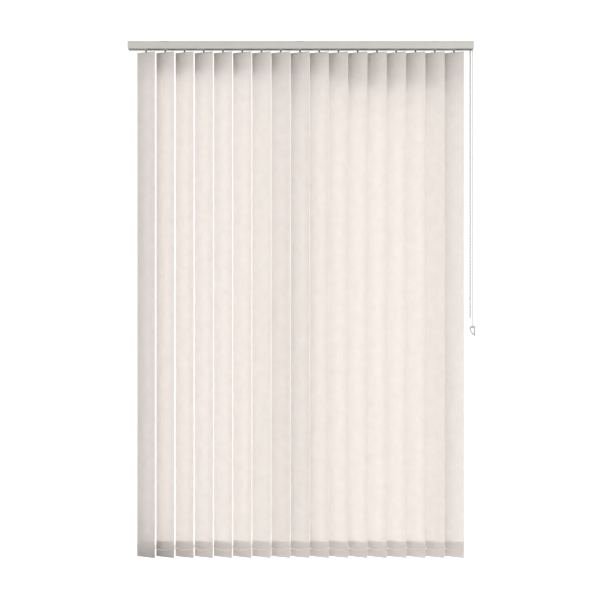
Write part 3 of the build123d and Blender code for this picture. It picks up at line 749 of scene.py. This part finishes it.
for number in numbers:
    hardware = [
        turned_stem(f"stem_{number}", number),
        slab(f"fork_{number}", FORK, -3.6, 3.6, "YZ", number, stem_plastic_in_painted_shade, 0.3),
        slab(f"hanger_{number}", HANGER, -0.5, 0.5, "XZ", number, hanger_plastic, 0.2),
        slab(f"ballast_{number}", BALLAST, -PLATE_HALF, PLATE_HALF, "XZ", number, ballast_plastic, 0.3),
        chain_clip(f"clip_right_{number}", 1, number),
        chain_clip(f"clip_left_{number}", -1, number),
    ]
    for piece in [cloths[number], *hardware]:
        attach(piece, f"louvre_{number}")
        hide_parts(f"louvre_{number}")
print("louvre pieces:", len(numbers) * 7)

# %% [markdown]
# ## Bead chains
# A plastic chain is beads moulded on a string at an even pitch. Hundreds of them hang here, so a bead
# is only a few dozen faces. Its template is placed at every step along the route at once, by adding
# arrays. The line itself is a NURBS curve through a few route points, so it hangs without kinks.


# %% Bead and cord makers
ALONG_RAIL = (1.0, 0.0, 0.0)
RING_POINTS = 8
LATITUDES = np.radians([40, 65, 90, 115, 140])
STRING_SHARE = 0.11
CORD_POINTS = 10
CORD_STEP = 0.0012


def cross_frame(heading, side):
    """Two unit directions square to the heading, the first as near to side as it can be."""
    other = np.cross(heading, side)
    other /= np.linalg.norm(other, axis=1, keepdims=True)
    return np.cross(other, heading), other


def bead_shape(diameter):
    """A bead about its own centre, first axis along the chain: rings at five latitudes, then two poles."""
    turn = np.linspace(0, 2 * math.pi, RING_POINTS, endpoint=False)
    grid = (len(LATITUDES), RING_POINTS)
    ring = np.stack([
        np.broadcast_to(-np.cos(LATITUDES)[:, None], grid),
        np.sin(LATITUDES)[:, None] * np.cos(turn),
        np.sin(LATITUDES)[:, None] * np.sin(turn),
    ], axis=-1).reshape(-1, 3)
    near_pole = len(ring)
    last_ring = near_pole - RING_POINTS
    column = np.arange(RING_POINTS)
    after = (column + 1) % RING_POINTS
    caps = [[near_pole, b, a] for a, b in zip(column, after)]
    caps += [[near_pole + 1, last_ring + a, last_ring + b] for a, b in zip(column, after)]
    points = np.concatenate([ring, [[-1, 0, 0], [1, 0, 0]]]) * diameter / 2
    return points, grid_faces(*grid, True), np.array(caps)


def bead_chain(name, path, pitch, diameter, side, finish):
    """A bead at every step of the path. String: a square prism from each bead to the next."""
    points, heading, length = along(path, pitch)
    first, second = cross_frame(heading, np.array(side))
    ball, quads, caps = bead_shape(diameter)
    axes = np.stack([heading, first, second], axis=1)
    beads = points[:, None, :] + np.einsum("vk,nkd->nvd", ball, axes)
    start = np.arange(len(points))[:, None, None] * len(ball)
    faces = (quads[None] + start).reshape(-1, 4).tolist()
    faces += (caps[None] + start).reshape(-1, 3).tolist()
    corner = np.array([[1, 1], [-1, 1], [-1, -1], [1, -1]]) * diameter * STRING_SHARE
    square = np.einsum("vk,nkd->nvd", corner, np.stack([first, second], axis=1))
    string = np.stack([points[:-1, None] + square[:-1], points[1:, None] + square[1:]], axis=1)
    link = np.array([[0, 1, 5, 4], [1, 2, 6, 5], [2, 3, 7, 6], [3, 0, 4, 7], [3, 2, 1, 0], [4, 5, 6, 7]])
    start = beads.shape[0] * beads.shape[1] + np.arange(len(points) - 1)[:, None, None] * 8
    faces += (link[None] + start).reshape(-1, 4).tolist()
    everything = np.concatenate([beads.reshape(-1, 3), string.reshape(-1, 3)])
    piece = face_outwards(make_piece(name, everything, faces, finish))
    print(name, "beads:", len(points), "length:", round(float(length), 4))
    return piece


def cord_tube(name, path, diameter, side, finish):
    """A ring of radius R x (1 + a small two-way wave) at every step along the path, closed at both ends."""
    points, heading, length = along(path, CORD_STEP)
    first, second = cross_frame(heading, np.array(side))
    turn = np.linspace(0, 2 * math.pi, CORD_POINTS, endpoint=False)
    travel = np.linspace(0, length, len(points))[:, None]
    wave = 0.05 * np.sin(turn * 5 + travel * 1300) * np.sin(turn * 5 - travel * 1300)
    reach = diameter / 2 * (1 + wave)
    ring = np.cos(turn)[:, None] * first[:, None] + np.sin(turn)[:, None] * second[:, None]
    tube = points[:, None] + reach[..., None] * ring
    grid = (len(points), CORD_POINTS)
    last_ring = (len(points) - 1) * CORD_POINTS
    faces = grid_faces(*grid, True).tolist()
    faces += [list(range(CORD_POINTS)), list(range(last_ring, last_ring + CORD_POINTS))]
    around = np.broadcast_to(np.arange(CORD_POINTS)[None] / CORD_POINTS, grid)
    uv = np.stack([around, np.broadcast_to(travel, grid)], axis=-1)
    piece = face_outwards(make_piece(name, tube, faces, finish, uv))
    print(name, "rings:", len(points), "length:", round(float(length), 4))
    return piece


# %% [markdown]
# ### Tilt chain
# The bead chain goes over a sprocket inside the end cap and hangs in a long narrow loop. Its two
# strands are a sprocket's width apart, so the turn at the bottom is small too.

# %% Tilt chain
TILT_BEAD, TILT_PITCH = 0.0045, 0.006
CHAIN_ROUTE = [
    (0.709, 0.00156, -0.021), (0.709, 0.00156, -1.114), (0.709, 0.00156, -1.141),
    (0.709, 0.00496, -1.1494), (0.709, 0.01344, -1.1494),
    (0.709, 0.01684, -1.141), (0.709, 0.01684, -1.114), (0.709, 0.01684, -0.021),
]
chain_path = smooth_route(CHAIN_ROUTE)
tilt_chain = bead_chain(
    "tilt_bead_chain", chain_path, TILT_PITCH, TILT_BEAD, ALONG_RAIL, finishes["chain_plastic"])
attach(tilt_chain, "root")
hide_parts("tilt_chain")

# %% [markdown]
# ### Traverse cord and its weight
# The cord that draws the louvres along comes out of the same end cap, goes down, through the weight's
# eye and back up. The weight keeps it straight.

# %% Traverse cord
CORD_THICK = 0.0022
CORD_ROUTE = [
    (0.717, -0.017, -0.017), (0.717, -0.017, -1.180), (0.717, -0.017, -1.1933),
    (0.717, -0.005, -1.1933), (0.717, -0.005, -1.180), (0.717, -0.005, -0.017),
]
cord_path = smooth_route(CORD_ROUTE)
cord = cord_tube("traverse_cord", cord_path, CORD_THICK, ALONG_RAIL, finishes["cord_fibre"])

# %% [markdown]
# The weight is a ring of clear shape: straight on one side and swept in on the other, like a sail. Both
# its outlines are convex, so each is drawn by the distances of its sides from one centre. At an angle,
# a side d away whose normal points at angle a is d / cos(angle - a) off, and a power mean of those
# inverse distances rounds the corners. An elliptical section between the two outlines makes the ring.


# %% Cord weight
SAIL = [(-10.0, 4.0), (10.4, 4.0), (10.4, -40.6), (-3.0, -30.5), (-13.2, -13.0), (-13.2, -1.0)]
EYE = [(-6.4, -4.6), (5.0, -4.6), (5.0, -27.6), (-0.5, -24.5), (-6.4, -14.5)]
EYE_CENTRE = np.array([0.0, -14.0])
WEIGHT_PLACE = (717.0, -11.0, -1187.3)
SECTION_POINTS = 24


def rounded_radius(corners, angle, sharpness):
    """Distance from the centre to a rounded convex outline: (sum of (cos(angle - a) / d)^p)^(-1/p)."""
    start = np.array(corners) - EYE_CENTRE
    edge = np.roll(start, -1, axis=0) - start
    normal = np.stack([edge[:, 1], -edge[:, 0]], axis=-1)
    normal /= np.linalg.norm(normal, axis=1, keepdims=True)
    away = (normal * start).sum(axis=1)
    normal *= np.sign(away)[:, None]
    away = np.abs(away)
    heading = np.stack([np.cos(angle), np.sin(angle)], axis=-1)
    share = np.clip(heading @ normal.T, 0, None) / away
    return (share ** sharpness).sum(axis=1) ** (-1 / sharpness)


def cord_weight_ring():
    """Middle + half width x cos in the ring's plane, and half thickness x sin across it, in mm."""
    angle = np.linspace(0, 2 * math.pi, 160, endpoint=False)
    outer = rounded_radius(SAIL, angle, 22)
    inner = rounded_radius(EYE, angle, 16)
    section = np.linspace(0, 2 * math.pi, SECTION_POINTS, endpoint=False)
    reach = ((outer + inner) / 2)[:, None] + ((outer - inner) / 2)[:, None] * np.cos(section)
    x = WEIGHT_PLACE[0] + EYE_CENTRE[0] + reach * np.cos(angle)[:, None]
    z = WEIGHT_PLACE[2] + EYE_CENTRE[1] + reach * np.sin(angle)[:, None]
    y = np.broadcast_to(WEIGHT_PLACE[1] + 4.5 * np.sin(section), x.shape)
    faces = grid_faces(len(angle), SECTION_POINTS, True).tolist()
    column = np.arange(SECTION_POINTS)
    after = (column + 1) % SECTION_POINTS
    last = (len(angle) - 1) * SECTION_POINTS
    faces += np.stack([last + column, last + after, after, column], axis=-1).tolist()
    points = np.stack([x, y, z], axis=-1) * MM
    return face_outwards(make_piece("cord_weight_ring", points, faces, finishes["weight_plastic"]))


weight = cord_weight_ring()
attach(weight, "root")
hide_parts("cord_weight")
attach(cord, "root")
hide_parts("traverse_cord_loop")

# %% [markdown]
# ### Link chains
# A light chain joins the bottom weights along each side, so the louvres can't swing apart. It hangs
# in a shallow sag between clips.

# %% Link chains
LINK_BEAD, LINK_PITCH = 0.0032, 0.004
SPAN = [(0.0, 0.0012), (0.016, -0.0051), (0.032, -0.0077), (0.048, -0.0077), (0.064, -0.0051)]
CLIP_REACH, CLIP_OFFSET, CLIP_Z = 0.048, 0.001, -2.103


def link_route(side):
    """The sag shape repeated at every louvre's clip and ended at the last one."""
    clip_x = side * (CLIP_REACH * math.cos(REST_ANGLE) - CLIP_OFFSET * math.sin(REST_ANGLE))
    clip_y = -side * (CLIP_REACH * math.sin(REST_ANGLE) + CLIP_OFFSET * math.cos(REST_ANGLE))
    starts = np.array([axis_x[number] for number in numbers]) + clip_x
    span = np.array(SPAN)
    x = (starts[:-1, None] + span[:, 0]).ravel()
    z = np.tile(span[:, 1], len(starts) - 1) + CLIP_Z
    x = np.append(x, starts[-1])
    z = np.append(z, CLIP_Z)
    z[0] = CLIP_Z
    return np.stack([x, np.full(len(x), clip_y), z], axis=-1)


for name, side in (("front", 1), ("back", -1)):
    route = link_route(side)
    path = smooth_route(route)
    chain = bead_chain(
        f"link_chain_{name}", path, LINK_PITCH, LINK_BEAD, (0.0, 1.0, 0.0), finishes["link_chain"])
    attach(chain, f"stabiliser_chain_{name}")
    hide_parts(f"stabiliser_chain_{name}")
    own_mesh(chain)
